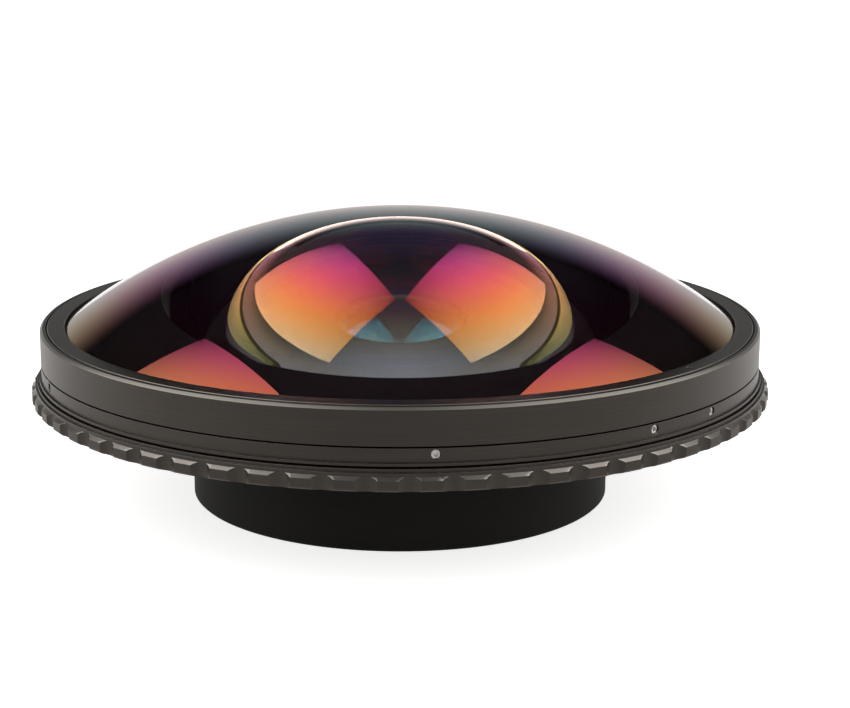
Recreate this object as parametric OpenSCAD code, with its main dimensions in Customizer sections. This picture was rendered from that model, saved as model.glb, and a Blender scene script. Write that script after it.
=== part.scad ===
// Fisheye conversion lens: a large domed front glass in a turned metal head,
// a notched lock ring round the foot of the head and a plain rear barrel.
// Millimetres. The optical axis is Z, the front glass faces +Z, and the rear
// face of the barrel lies on Z = 0. The photographed front is towards -Y.

/* [Front glass] */
// Radius of the front element's ground edge
front_r = 64.6; // [62:0.1:68]
// Radius of curvature of the domed front face
front_curve_r = 108.2; // [102:0.1:120]
// Height of the front element's ground edge
front_edge_t = 8; // [6:0.1:10]
// Radius of curvature of the bowl ground into the back face
bowl_curve_r = 44.5; // [43:0.5:48]
// Radius of the bowl at the flat back face
bowl_r = 38.9; // [38.5:0.1:40]

/* [Head] */
// Gap between the front element's edge and the wall round it
glass_gap = 0.3; // [0.2:0.05:0.6]
// Wall of the spigot round the front element
spigot_wall = 1.55; // [1.4:0.05:3]
// Wall of the lower band and of the shell
shell_wall = 1.6; // [1.45:0.05:3]
// Thickness of the floor of the head
floor_t = 3.8; // [3:0.1:5]
// Thickness of the seat shim under the front element
seat_t = 0.2; // [0.1:0.05:0.4]
// Height of the smooth wall of the lower band
band_h = 2.4; // [2:0.1:4]
// Height of the turned ledge at the foot of the lower band
ledge_h = 0.5; // [0.3:0.05:0.8]
// How far each turned ledge stands out past the one above
ledge_step = 0.4; // [0.2:0.05:0.6]
// Width of the seam between the lower band and the shell
seam_gap = 0.25; // [0.15:0.05:0.5]
// How far the shell's rim stands above the front element's edge
rim_rise = 1.32; // [1.2:0.02:2.5]
// How far the skirt of the head is set in under the lower band
skirt_step = 0.5; // [0.3:0.05:0.8]
// Width of the chamfer round the rim of the shell
rim_chamfer = 0.5; // [0.2:0.05:0.6]
// Sideways clearance of turned parts that screw or slide together
fit_gap = 0.05; // [0.02:0.01:0.1]

/* [Front retaining ring] */
// Width of the ring's flat top
ring_top_w = 3.25; // [2.5:0.05:3.4]
// How far the ring's top stands above the shell's rim
ring_proud = 0.1; // [0:0.05:0.4]
// Width of the groove between the ring and the rim
ring_groove_w = 0.3; // [0.15:0.05:0.4]
// Depth of the groove between the ring and the rim
ring_groove_d = 0.7; // [0.3:0.1:1]
// Wall of the shell beside the ring
rim_wall = 1.05; // [0.9:0.05:1.2]
// Edge break of the ring's top
ring_chamfer = 0.15; // [0.05:0.05:0.2]
// Thickness of the gasket between the ring's lip and the glass
gasket_t = 0.3; // [0.2:0.05:0.4]
// Radius of the ring's two spanner holes
spanner_hole_r = 0.55; // [0.3:0.05:0.8]
// Depth of the ring's two spanner holes
spanner_hole_d = 0.8; // [0.4:0.1:1]

/* [Set screws] */
// Radius of the set screws in the lower band
set_screw_r = 0.8; // [0.5:0.05:0.9]
// Clearance of a set screw in its hole
set_screw_gap = 0.05; // [0.02:0.01:0.1]
// How deep the end of a set screw lies under the band's surface
set_screw_sink = 0.25; // [0.1:0.05:0.5]
// Radius of the hexagon socket in a set screw
set_screw_socket_r = 0.42; // [0.2:0.02:0.45]
// Depth of the hexagon socket in a set screw
set_screw_socket_d = 0.5; // [0.2:0.05:0.8]
// Distance from the seam down to the line of set screws
set_screw_drop = 1.05; // [0.95:0.05:1.3]

/* [Lock ring] */
// Distance from the band's lowest ledge to the tip of a tooth
tooth_reach = 1.5; // [1.3:0.05:2.5]
// Height of the teeth below their chamfer
tooth_h = 1.9; // [1.5:0.1:3]
// How far the foot of the teeth lies under the floor of the head
tooth_drop = 0.2; // [0.1:0.05:0.3]
// Width of the chamfer on top of the teeth
tooth_chamfer = 0.7; // [0.3:0.05:0.8]
// Height of the chamfer on top of the teeth
tooth_chamfer_h = 0.47; // [0.3:0.01:0.6]
// Edge break at the foot of the teeth
tooth_edge = 0.35; // [0.1:0.05:0.5]
// Number of notches round the ring
notch_count = 62; // [40:1:80]
// Radius of the cutter that makes a notch
notch_cutter_r = 2.55; // [1.5:0.05:4]
// Depth of a notch
notch_d = 0.85; // [0.5:0.05:1]
// How far a notch runs up into the ledge above the teeth
notch_rise = 0.1; // [0.05:0.05:0.3]
// Height of each of the two ledges above the teeth
lock_ledge_h = 0.6; // [0.3:0.05:0.9]
// Gap between the lock ring and the head
lock_gap = 0.3; // [0.2:0.05:0.5]
// Thickness of the ring's web under the head
web_t = 1.4; // [1.2:0.1:3]
// How far the flat of the web's underside stops short of the teeth
web_taper_w = 8; // [6:0.5:12]
// Distance from the web's bore to the friction pad
pad_offset = 8; // [4:0.5:10]
// Width of the friction pad on the web
pad_w = 8; // [4:0.5:12]
// Thickness of the friction pad
pad_t = 0.7; // [0.4:0.05:0.9]
// Gap between the friction pad and the head when released
pad_gap = 0.05; // [0.02:0.01:0.1]

/* [Rear barrel] */
// Radius of the thread at the rear, measured to its crests
thread_bore_r = 35.6; // [33:0.1:36.5]
// Length of the rear thread
thread_len = 6; // [4:0.5:12]
// Wall of the ring that carries the thread
thread_ring_wall = 1.9; // [1.2:0.1:2.4]
// Wall of the barrel beside its bearing bore
barrel_wall = 4; // [3.5:0.1:6]
// Wall of the barrel beside the thread ring
barrel_thread_wall = 2; // [1.5:0.1:2.4]
// Gap between the thread ring and the neck's lower end
neck_rise = 1; // [0.5:0.1:2]
// Height of the space for the swivel retaining ring
ring_space_h = 3; // [2.5:0.1:5]
// Thickness of the lip that holds the head in the barrel
lip_t = 2; // [1.5:0.1:4]
// Length of the bearing bore for the head
bearing_len = 9.2; // [8:0.1:14]
// Running clearance of the head in the bearing bore
bearing_gap = 0.05; // [0.02:0.01:0.1]
// Edge break of the barrel's rear rim
barrel_chamfer = 0.4; // [0.2:0.1:0.8]
// Thickness of the swivel washers
washer_t = 0.4; // [0.3:0.05:0.8]
// Play on each face of a swivel washer
washer_play = 0.05; // [0.02:0.01:0.1]
// Radial play at the edges of a swivel washer
washer_edge_gap = 0.3; // [0.1:0.05:0.5]
// Wire thickness of the snap ring under the lock ring
snap_t = 0.8; // [0.5:0.1:1.2]
// How deep the snap ring sits in the barrel's groove
snap_d = 0.5; // [0.3:0.1:0.8]
// Opening of the snap ring
snap_opening = 6; // [3:0.5:12]

/* [Lens cell] */
// Radius of the rear pair of elements
element_r = 29; // [27:0.1:30]
// Wall of the lens cell
cell_wall = 2.35; // [1.8:0.05:3]
// Wall of the swivel neck beside the bearing
neck_wall = 4.5; // [4:0.1:6]
// Wall of the neck's lower end, which carries the swivel retaining ring
neck_end_wall = 1.85; // [1.5:0.05:2.5]
// How far the neck's flange reaches past its bearing
neck_flange_w = 2; // [1.5:0.1:4]
// Thickness of the cell's top flange
cell_flange_t = 0.5; // [0.3:0.05:0.8]
// Gap between the cell's top flange and the edge of the bowl
cell_flange_gap = 4; // [3:0.1:6]
// Height from the neck's lower end to the cell's lower end
cell_rise = 0.6; // [0.2:0.1:1]
// Height of the rear retaining ring
rear_ring_h = 1.4; // [1.3:0.1:1.8]
// Width of the rear retaining ring
element_ring_w = 3; // [1.5:0.1:4]
// Width of a spanner slot in a retaining ring
slot_w = 2; // [1:0.1:3]
// Depth of a spanner slot in a retaining ring
slot_d = 0.8; // [0.4:0.1:0.9]
// Edge thickness of the flint element
flint_edge_t = 3.2; // [3.2:0.1:4]
// Radius of curvature of the cemented faces
cement_curve_r = 200; // [180:1:300]
// Edge thickness of the crown element
crown_edge_t = 0.9; // [0.8:0.1:1.5]
// Radius of curvature of the crown element's front face
crown_curve_r = 220; // [190:1:300]

/* [Second element] */
// Radius of the second element
second_r = 14.2; // [13:0.1:15]
// Edge thickness of the second element
second_edge_t = 0.9; // [0.8:0.1:1.5]
// Radius of curvature of the second element's front face
second_front_curve_r = 20; // [18:0.5:26]
// Radius of curvature of the second element's back face
second_back_curve_r = 22; // [20:0.5:40]
// Width of the ring that holds the second element
second_ring_w = 0.6; // [0.4:0.05:1]
// Thickness of that ring's lip
second_lip_t = 0.9; // [0.9:0.1:1.6]
// Width of the seat under the second element
second_seat_w = 1; // [0.6:0.1:1.5]
// Thickness of the carrier under the second element
carrier_web_t = 0.8; // [0.6:0.1:1.2]
// Wall of the carrier beside the second element's ring
carrier_wall = 0.8; // [0.6:0.1:1.5]
// Width of the flat rim of the dished carrier
carrier_rim_w = 1.2; // [0.8:0.1:2]
// Distance from the top of the cell down to the carrier's rim
carrier_drop = 4; // [3.2:0.1:4.8]

/* [Hidden] */
$fn = 128;
// Facets round a ball that shapes a flat glass face
ball_facets = 256;

// Colours
metal_color = [0.23, 0.22, 0.21];
barrel_color = [0.12, 0.12, 0.12];
steel_color = [0.75, 0.75, 0.73];
rubber_color = [0.08, 0.08, 0.08];
washer_color = [0.8, 0.78, 0.7];
glass_color = [0.45, 0.2, 0.3, 0.6];

// Over-cut of every subtracted shape
cut = 1;
// Angle of the photographed front, seen from above
front_angle = -90;
// Set screws in three like groups, counted from the front
set_screw_groups = 3;
set_screw_angles = [4.8, 38.6, 52];
// First tooth and first spanner hole, counted from the front
first_tooth_angle = 4.2;
notch_phase = first_tooth_angle + 180 / notch_count;
spanner_angle = 49.5;

// Depth of a spherical face of radius r across a disc of radius a
function sag(r, a) = r - sqrt(r * r - a * a);

// Radii of the lens cell, the neck and the barrel
cell_bore_r = element_r + fit_gap;
cell_r = cell_bore_r + cell_wall;
neck_bore_r = cell_r + fit_gap;
neck_r = neck_bore_r + neck_wall;
neck_end_r = neck_bore_r + neck_end_wall;
neck_flange_r = neck_r + neck_flange_w;
bearing_r = neck_r + bearing_gap;
thread_ring_r = thread_bore_r + thread_ring_wall;
barrel_r = max(bearing_r + barrel_wall, thread_ring_r + fit_gap + barrel_thread_wall);
lip_r = neck_end_r + washer_edge_gap;

// Heights of the barrel
lip_z = thread_len + ring_space_h;
bearing_z = lip_z + lip_t;
barrel_h = bearing_z + bearing_len;
neck_shoulder_z = bearing_z + washer_t + 2 * washer_play;
neck_z = thread_len + neck_rise;

// Heights of the head
floor_z = barrel_h + washer_t + 2 * washer_play;
floor_top_z = floor_z + floor_t;
seat_z = floor_top_z + seat_t;
glass_edge_z = seat_z + front_edge_t;
front_centre_z = glass_edge_z + sag(front_curve_r, front_r) - front_curve_r;
bowl_centre_z = seat_z + sag(bowl_curve_r, bowl_r) - bowl_curve_r;

// Height of the domed face at distance r from the axis
function dome_z(r) = front_centre_z + sqrt(front_curve_r * front_curve_r - r * r);

// Radii of the head
spigot_bore_r = front_r + glass_gap;
spigot_r = spigot_bore_r + spigot_wall;
skirt_r = spigot_r - skirt_step;
band_bore_r = spigot_r + fit_gap;
head_r = band_bore_r + shell_wall;
rim_bore_r = head_r - rim_wall;

// Heights of the lock ring and of the pieces above it
tooth_z = floor_z - tooth_drop;
lock_ledge_z = tooth_z + tooth_h + tooth_chamfer_h;
lock_top_z = lock_ledge_z + 2 * lock_ledge_h;
web_top_z = floor_z - lock_gap;
web_z = web_top_z - web_t;
snap_z = web_z - snap_t - washer_play;
band_z = lock_top_z + lock_gap;
band_top_z = band_z + ledge_h + band_h;
shell_z = band_top_z + seam_gap;
shell_top_z = glass_edge_z + rim_rise;
set_screw_z = band_top_z - set_screw_drop;

// Radii of the lock ring
ledge_r = head_r + ledge_step;
tooth_r = ledge_r + tooth_reach;
lock_bore_r = skirt_r + lock_gap;
lock_thread_r = barrel_r + lock_gap;
pad_in_r = lock_thread_r + pad_offset;

// The front retaining ring and its seat
ring_r = rim_bore_r - fit_gap;
ring_top_r = rim_bore_r - ring_groove_w;
ring_bore_r = ring_top_r - ring_top_w;
ring_top_z = shell_top_z + ring_proud;
ring_z = glass_edge_z - gasket_t;
spigot_top_z = ring_z - gasket_t;

// Heights in the lens cell
cell_z = neck_z + cell_rise;
cell_top_z = floor_top_z + cell_flange_t;
cell_flange_r = bowl_r - cell_flange_gap;
flint_z = cell_z + rear_ring_h;
crown_z = flint_z + flint_edge_t;
spacer_z = crown_z + crown_edge_t;
crown_top_z = spacer_z + sag(crown_curve_r, element_r);
second_z = crown_top_z + carrier_web_t;
second_ring_z = second_z + second_edge_t;
carrier_top_z = cell_top_z - carrier_drop;
element_ring_bore_r = cell_bore_r - element_ring_w;
second_bore_r = second_r + fit_gap;
second_ring_bore_r = second_r - second_ring_w;

// How far a convex face of edge radius a stands above its edge at radius b
function edge_rise(r, a, b) = sag(r, a) - sag(r, b);

// The lip of the ring over the second element
second_lip_z = second_ring_z + edge_rise(second_front_curve_r, second_r, second_ring_bore_r) + fit_gap;
second_lip_top_z = second_lip_z + second_lip_t;

// A straight tube standing on z
module tube(r_out, r_in, z, h) {
  translate([0, 0, z])
    difference() {
      cylinder(r = r_out, h = h);
      translate([0, 0, -cut])
        cylinder(r = r_in, h = h + 2 * cut);
    }
}

// A profile of radius and height turned about the axis
module turned(profile) {
  rotate_extrude()
    polygon(profile);
}

// A plain disc of glass between z and z + h
module blank(r, z, h) {
  translate([0, 0, z])
    cylinder(r = r, h = h);
}

// A ball of radius r whose top lies at z
module ball_below(r, z) {
  translate([0, 0, z - r])
    sphere(r = r, $fn = ball_facets);
}

// A ball of radius r whose bottom lies at z
module ball_above(r, z) {
  translate([0, 0, z + r])
    sphere(r = r, $fn = ball_facets);
}

// Copies at each given angle from the photographed front
module at_angles(angles) {
  for (a = angles)
    rotate([0, 0, front_angle + a])
      children();
}

// Two opposite spanner slots in the face of a ring, cut down from z + slot_d
module spanner_slots(r, z) {
  translate([-r - cut, -slot_w / 2, z])
    cube([2 * r + 2 * cut, slot_w, slot_d + cut]);
}

// Hole or body of a radial set screw between two radii
module radial_rod(r, r_in, r_out, z, sides) {
  translate([r_in, 0, z])
    rotate([0, 90, 0])
      cylinder(r = r, h = r_out - r_in, $fn = sides);
}

function set_screw_places() =
  [for (g = [0 : set_screw_groups - 1]) for (a = set_screw_angles) a + g * 360 / set_screw_groups];

// Rear barrel with the bearing bore, the lip and the snap ring groove
module rear_barrel() {
  color(barrel_color)
    turned([
      [thread_ring_r + fit_gap, 0],
      [barrel_r - barrel_chamfer, 0],
      [barrel_r, barrel_chamfer],
      [barrel_r, snap_z],
      [barrel_r - snap_d, snap_z],
      [barrel_r - snap_d, snap_z + snap_t],
      [barrel_r, snap_z + snap_t],
      [barrel_r, barrel_h],
      [bearing_r, barrel_h],
      [bearing_r, bearing_z],
      [lip_r, bearing_z],
      [lip_r, lip_z],
      [bearing_r, lip_z],
      [bearing_r, thread_len],
      [thread_ring_r + fit_gap, thread_len]
    ]);
}

// Ring with the rear thread
module mount_thread_ring() {
  color(metal_color)
    tube(thread_ring_r, thread_bore_r, 0, thread_len);
}

// Thrust washer between the neck's shoulder and the barrel's lip
module lip_washer() {
  color(washer_color)
    tube(bearing_r - washer_edge_gap, lip_r + washer_edge_gap, bearing_z + washer_play, washer_t);
}

// Washer between the barrel's top face and the head
module barrel_washer() {
  color(washer_color)
    tube(barrel_r - washer_edge_gap, bearing_r + washer_edge_gap, barrel_h + washer_play, washer_t);
}

// Open wire ring that keeps the lock ring on the barrel
module lock_snap_ring() {
  color(steel_color)
    difference() {
      tube(barrel_r + snap_t, barrel_r - snap_d + washer_play, snap_z, snap_t - washer_play);
      translate([-snap_opening / 2, 0, snap_z - cut])
        cube([snap_opening, barrel_r + snap_t + cut, snap_t + 2 * cut]);
    }
}

// Notched ring that clamps the head on the barrel
module lock_ring() {
  color(metal_color)
    difference() {
      turned([
        [lock_thread_r, web_z],
        [tooth_r - web_taper_w, web_z],
        [tooth_r - tooth_edge, tooth_z],
        [tooth_r, tooth_z + tooth_edge],
        [tooth_r, tooth_z + tooth_h],
        [tooth_r - tooth_chamfer, lock_ledge_z],
        [tooth_r - tooth_chamfer, lock_ledge_z + lock_ledge_h],
        [ledge_r + ledge_step, lock_ledge_z + lock_ledge_h],
        [ledge_r + ledge_step, lock_top_z],
        [lock_bore_r, lock_top_z],
        [lock_bore_r, web_top_z],
        [pad_in_r + pad_w, web_top_z],
        [pad_in_r + pad_w, floor_z - pad_gap - pad_t],
        [pad_in_r, floor_z - pad_gap - pad_t],
        [pad_in_r, web_top_z],
        [lock_thread_r, web_top_z]
      ]);
      at_angles([for (i = [0 : notch_count - 1]) notch_phase + i * 360 / notch_count])
        translate([tooth_r - notch_d + notch_cutter_r, 0, web_z])
          cylinder(r = notch_cutter_r, h = lock_ledge_z + notch_rise - web_z);
    }
}

// Fibre ring let into the web of the lock ring
module lock_pad() {
  color(rubber_color)
    tube(pad_in_r + pad_w - fit_gap, pad_in_r + fit_gap, floor_z - pad_gap - pad_t, pad_t);
}

// Dish that carries the front element
module head_base() {
  color(metal_color)
    turned([
      [neck_flange_r + fit_gap, floor_z],
      [skirt_r, floor_z],
      [skirt_r, band_z],
      [spigot_r, band_z],
      [spigot_r, spigot_top_z],
      [spigot_bore_r, spigot_top_z],
      [spigot_bore_r, floor_top_z],
      [neck_flange_r + fit_gap, floor_top_z]
    ]);
}

// Lower band of the head with its row of set screw holes
module lower_band() {
  color(metal_color)
    difference() {
      turned([
        [band_bore_r, band_z],
        [ledge_r, band_z],
        [ledge_r, band_z + ledge_h],
        [head_r, band_z + ledge_h],
        [head_r, band_top_z],
        [band_bore_r, band_top_z]
      ]);
      at_angles(set_screw_places())
        radial_rod(set_screw_r + set_screw_gap, spigot_r - cut, ledge_r + cut, set_screw_z, $fn);
    }
}

// Upper shell of the head
module head_shell() {
  color(metal_color)
    turned([
      [band_bore_r, shell_z],
      [head_r, shell_z],
      [head_r, shell_top_z - rim_chamfer],
      [head_r - rim_chamfer, shell_top_z],
      [rim_bore_r, shell_top_z],
      [rim_bore_r, ring_z],
      [band_bore_r, ring_z]
    ]);
}

// Set screws that hold the lower band on the dish
module set_screws() {
  screw_end_r = head_r - set_screw_sink;
  color(steel_color)
    at_angles(set_screw_places())
      difference() {
        radial_rod(set_screw_r, spigot_r + fit_gap / 2, screw_end_r, set_screw_z, $fn);
        radial_rod(set_screw_socket_r, screw_end_r - set_screw_socket_d, screw_end_r + cut,
                   set_screw_z, 6);
      }
}

// Thin black shim under the flat of the front element
module seat_shim() {
  color(rubber_color)
    tube(front_r - glass_gap, bowl_r + fit_gap, floor_top_z, seat_t);
}

// Thick front element, domed in front and hollowed by a bowl behind
module front_element() {
  color(glass_color)
    difference() {
      intersection() {
        blank(front_r, seat_z, 2 * front_r);
        ball_below(front_curve_r, front_centre_z + front_curve_r);
      }
      ball_below(bowl_curve_r, bowl_centre_z + bowl_curve_r);
    }
}

// Rubber gasket between the front element and the retaining ring's lip
module front_gasket() {
  in_r = ring_bore_r + fit_gap;
  out_r = front_r - fit_gap;
  color(rubber_color)
    turned([
      [in_r, dome_z(in_r) + fit_gap / 2],
      [out_r, dome_z(out_r) + fit_gap / 2],
      [out_r, dome_z(out_r) + gasket_t - fit_gap / 2],
      [in_r, dome_z(in_r) + gasket_t - fit_gap / 2]
    ]);
}

// Ring that holds the front element in the shell
module front_retaining_ring() {
  color(metal_color)
    difference() {
      turned([
        [spigot_bore_r, ring_z],
        [ring_r, ring_z],
        [ring_r, shell_top_z - ring_groove_d],
        [ring_top_r, shell_top_z - ring_groove_d],
        [ring_top_r, ring_top_z - ring_chamfer],
        [ring_top_r - ring_chamfer, ring_top_z],
        [ring_bore_r + ring_chamfer, ring_top_z],
        [ring_bore_r, ring_top_z - ring_chamfer],
        [ring_bore_r, dome_z(ring_bore_r) + gasket_t],
        [spigot_bore_r, dome_z(spigot_bore_r) + gasket_t]
      ]);
      at_angles([spanner_angle, spanner_angle + 180])
        translate([(ring_bore_r + ring_top_r) / 2, 0, ring_top_z - spanner_hole_d])
          cylinder(r = spanner_hole_r, h = spanner_hole_d + cut);
    }
}

// Neck that turns in the barrel's bearing bore and screws into the dish
module swivel_neck() {
  color(metal_color)
    turned([
      [neck_bore_r, neck_z],
      [neck_end_r, neck_z],
      [neck_end_r, neck_shoulder_z],
      [neck_r, neck_shoulder_z],
      [neck_r, floor_z],
      [neck_flange_r, floor_z],
      [neck_flange_r, floor_top_z],
      [neck_bore_r, floor_top_z]
    ]);
}

// Ring on the neck's lower end that holds the head in the barrel
module swivel_retaining_ring() {
  ring_h = lip_z - 2 * washer_play - neck_z;
  color(steel_color)
    difference() {
      tube(bearing_r - washer_edge_gap, neck_end_r + fit_gap, neck_z, ring_h);
      mirror([0, 0, 1])
        spanner_slots(bearing_r, -neck_z - slot_d);
    }
}

// Tube that holds the inner elements
module lens_cell() {
  color(metal_color)
    turned([
      [cell_bore_r, cell_z],
      [cell_r, cell_z],
      [cell_r, floor_top_z],
      [cell_flange_r, floor_top_z],
      [cell_flange_r, cell_top_z],
      [cell_bore_r, cell_top_z]
    ]);
}

// Ring that closes the rear of the lens cell
module rear_retaining_ring() {
  color(metal_color)
    difference() {
      tube(cell_bore_r - fit_gap, element_ring_bore_r, cell_z, rear_ring_h);
      mirror([0, 0, 1])
        spanner_slots(cell_bore_r, -cell_z - slot_d);
    }
}

// Flint half of the cemented pair, flat behind and hollow in front
module flint_element() {
  color(glass_color)
    difference() {
      blank(element_r, flint_z, flint_edge_t);
      ball_above(cement_curve_r, crown_z - sag(cement_curve_r, element_r));
    }
}

// Crown half of the cemented pair, convex on both faces
module crown_element() {
  crown_bottom_z = crown_z - sag(cement_curve_r, element_r);
  color(glass_color)
    intersection() {
      blank(element_r, crown_bottom_z - cut, crown_top_z - crown_bottom_z + 2 * cut);
      ball_above(cement_curve_r, crown_bottom_z);
      ball_below(crown_curve_r, crown_top_z);
    }
}

// Dished carrier that holds the pair down and carries the second element
module element_spacer() {
  color(barrel_color)
    turned([
      [element_r, spacer_z + fit_gap],
      [element_r, carrier_top_z],
      [element_r - carrier_rim_w, carrier_top_z],
      [second_bore_r + carrier_wall, second_lip_top_z],
      [second_bore_r, second_lip_top_z],
      [second_bore_r, second_z],
      [second_r - second_seat_w, second_z],
      [second_r - second_seat_w, crown_top_z],
      [element_ring_bore_r, crown_top_z],
      [element_ring_bore_r, spacer_z + edge_rise(crown_curve_r, element_r, element_ring_bore_r) + fit_gap]
    ]);
}

// Small steep glass that stands in the middle of the bowl
module second_element() {
  second_top_z = second_ring_z + sag(second_front_curve_r, second_r);
  color(glass_color)
    difference() {
      intersection() {
        blank(second_r, second_z, second_top_z - second_z + cut);
        ball_below(second_front_curve_r, second_top_z);
      }
      ball_below(second_back_curve_r, second_z + sag(second_back_curve_r, second_r));
    }
}

// Ring that holds the second element in its carrier
module second_retaining_ring() {
  color(metal_color)
    difference() {
      turned([
        [second_r, second_ring_z + fit_gap],
        [second_r, second_lip_top_z],
        [second_ring_bore_r, second_lip_top_z],
        [second_ring_bore_r, second_lip_z]
      ]);
      spanner_slots(second_r, second_lip_top_z - slot_d);
    }
}

rear_barrel();
mount_thread_ring();
lip_washer();
barrel_washer();
lock_snap_ring();
lock_ring();
lock_pad();
head_base();
lower_band();
head_shell();
set_screws();
seat_shim();
front_element();
front_gasket();
front_retaining_ring();
swivel_neck();
swivel_retaining_ring();
lens_cell();
rear_retaining_ring();
flint_element();
crown_element();
element_spacer();
second_element();
second_retaining_ring();
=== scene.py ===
# Fisheye conversion lens: a domed front glass in a turned metal head, a notched
# lock ring round the foot of the head and a plain rear barrel. Sizes are in
# millimetres and are turned into metres where a piece is made.
import math
import bpy
from mathutils import Matrix, Vector


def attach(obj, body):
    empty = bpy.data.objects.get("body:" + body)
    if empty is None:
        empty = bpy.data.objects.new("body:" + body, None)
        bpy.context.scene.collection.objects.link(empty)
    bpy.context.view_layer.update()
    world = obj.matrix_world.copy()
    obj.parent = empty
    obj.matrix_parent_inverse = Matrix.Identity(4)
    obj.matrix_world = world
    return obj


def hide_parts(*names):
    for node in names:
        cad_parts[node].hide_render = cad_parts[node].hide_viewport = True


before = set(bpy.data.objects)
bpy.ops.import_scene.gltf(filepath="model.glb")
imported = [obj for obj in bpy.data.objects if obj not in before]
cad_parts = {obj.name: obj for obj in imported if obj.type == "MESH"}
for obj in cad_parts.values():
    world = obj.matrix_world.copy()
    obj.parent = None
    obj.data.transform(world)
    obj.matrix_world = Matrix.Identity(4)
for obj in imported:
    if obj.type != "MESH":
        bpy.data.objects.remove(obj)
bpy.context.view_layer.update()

MM = 0.001
MERGE = 4e-6
FACE_SLACK = 0.05 * MM
TURN_STEPS = 360
GLASS_STEPS = 288
THREAD_STEPS = 120
FLAT_ROWS = 8

# Head and front glass
front_r = 64.6
front_curve_r = 108.2
glass_edge_z = 32.7
seat_z = 24.7
bowl_r = 38.9
bowl_curve_r = 44.5
head_r = 68.1
band_bore_r = 66.5
rim_bore_r = 67.05
shell_z = 27.52
shell_top_z = 34.02
rim_chamfer = 0.5
band_z = 24.37
band_top_z = 27.27
ledge_r = 68.5
ledge_top_z = 24.87

# Front retaining ring
ring_r = 67.0
ring_top_r = 66.75
ring_bore_r = 63.5
ring_z = 32.4
ring_top_z = 34.12
ring_groove_d = 0.7
ring_top_edge = 0.12
ring_inner_r = 64.9
gasket_t = 0.3
spanner_hole_r = 0.55
spanner_hole_d = 0.8
spanner_angles = (49.5, 229.5)

# Set screws
screw_r = 0.8
screw_hole_r = 0.85
screw_sink = 0.25
screw_socket_r = 0.42
screw_socket_d = 0.5
screw_gap = 0.03
screw_drill_h = 4.0
screw_z = 26.22
screw_angles = [a + 120 * g for g in range(3) for a in (4.8, 38.6, 52.0)]

# Lock ring
tooth_r = 70.0
tooth_z = 20.5
tooth_h = 1.9
tooth_chamfer = 0.7
tooth_edge = 0.35
lock_ledge_z = 22.87
lock_ledge_h = 0.6
lock_top_z = 24.07
lock_top_r = ledge_r + 0.4
lock_bore_r = 66.25
lock_thread_r = 40.3
web_z = 19.0
web_top_z = 20.4
web_flat_r = 62.0
pad_in_r = 48.3
pad_out_r = 56.3
pad_seat_z = 19.95
notch_count = 62
notch_cutter_r = 2.55
notch_d = 0.85
notch_rise = 0.1
notch_phase = 4.2 + 180 / notch_count

# Rear barrel
barrel_r = 40.0
barrel_h = 20.2
barrel_chamfer = 0.4
bearing_r = 36.0
bearing_z = 11.0
lip_r = 33.6
lip_z = 9.0
thread_len = 6.0
thread_seat_r = 37.55
thread_ring_r = 37.5
thread_bore_r = 35.6
thread_pitch = 0.75
thread_d = 0.5
thread_lead = 0.4
thread_tip_r = 0.8 * thread_d
snap_z = 18.15
snap_t = 0.8
snap_d = 0.5

# Inner glasses
second_r = 14.2
second_z = 15.82
second_edge_z = 16.72
second_front_curve_r = 20.0
second_back_curve_r = 22.0
element_r = 29.0
crown_z = 12.2
crown_edge_z = 13.1
crown_curve_r = 220.0
cement_curve_r = 200.0
cement_gap = 0.03
flint_z = 9.0

FRONT_ANGLE = -90

# Studio, in metres
floor_w = 5.0
card_y = 1.9
card_w = 4.0
card_h = 1.1
card_level = 0.8
box_level = 2.3


def clear_selection():
    if bpy.context.mode != "OBJECT":
        bpy.ops.object.mode_set(mode="OBJECT")
    bpy.ops.object.select_all(action="DESELECT")


def pick(piece):
    clear_selection()
    piece.select_set(True)
    bpy.context.view_layer.objects.active = piece


def named(name):
    piece = bpy.context.object
    piece.name = name
    piece.data.name = name
    bpy.ops.object.transform_apply(location=True, rotation=True, scale=True)
    return piece


def close_mesh():
    bpy.ops.mesh.select_all(action="SELECT")
    bpy.ops.mesh.remove_doubles(threshold=MERGE)
    bpy.ops.mesh.normals_make_consistent(inside=False)
    bpy.ops.object.mode_set(mode="OBJECT")


def apply_modifier(piece, modifier):
    pick(piece)
    bpy.ops.object.modifier_apply(modifier=modifier.name)


# A closed profile of radius and height, turned about the optical axis
def turned(name, profile, steps=TURN_STEPS):
    clear_selection()
    r_now, z_now = profile[0]
    bpy.ops.mesh.primitive_circle_add(vertices=steps, radius=r_now * MM, location=(0, 0, z_now * MM))
    piece = named(name)
    bpy.ops.object.mode_set(mode="EDIT")
    bpy.ops.mesh.select_all(action="SELECT")
    for r, z in profile[1:] + profile[:1]:
        bpy.ops.mesh.extrude_region_move(TRANSFORM_OT_translate={"value": (0, 0, (z - z_now) * MM)})
        bpy.ops.transform.resize(value=(r / r_now, r / r_now, 1), center_override=(0, 0, 0))
        r_now, z_now = r, z
    close_mesh()
    return piece


# Copies of a piece round the optical axis, joined to one object
def round_the_axis(piece, angles):
    copies = []
    for a in angles:
        copy = piece.copy()
        copy.data = piece.data.copy()
        bpy.context.scene.collection.objects.link(copy)
        copy.rotation_euler.z = math.radians(FRONT_ANGLE + a)
        copies.append(copy)
    name = piece.name
    bpy.data.objects.remove(piece)
    clear_selection()
    for copy in copies:
        copy.select_set(True)
    bpy.context.view_layer.objects.active = copies[0]
    bpy.ops.object.transform_apply(location=True, rotation=True, scale=True)
    bpy.ops.object.join()
    return named(name)


def cut_away(piece, cutter):
    cut = piece.modifiers.new("cut", "BOOLEAN")
    cut.operation = "DIFFERENCE"
    cut.solver = "EXACT"
    cut.object = cutter
    apply_modifier(piece, cut)
    bpy.data.objects.remove(cutter)


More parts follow.
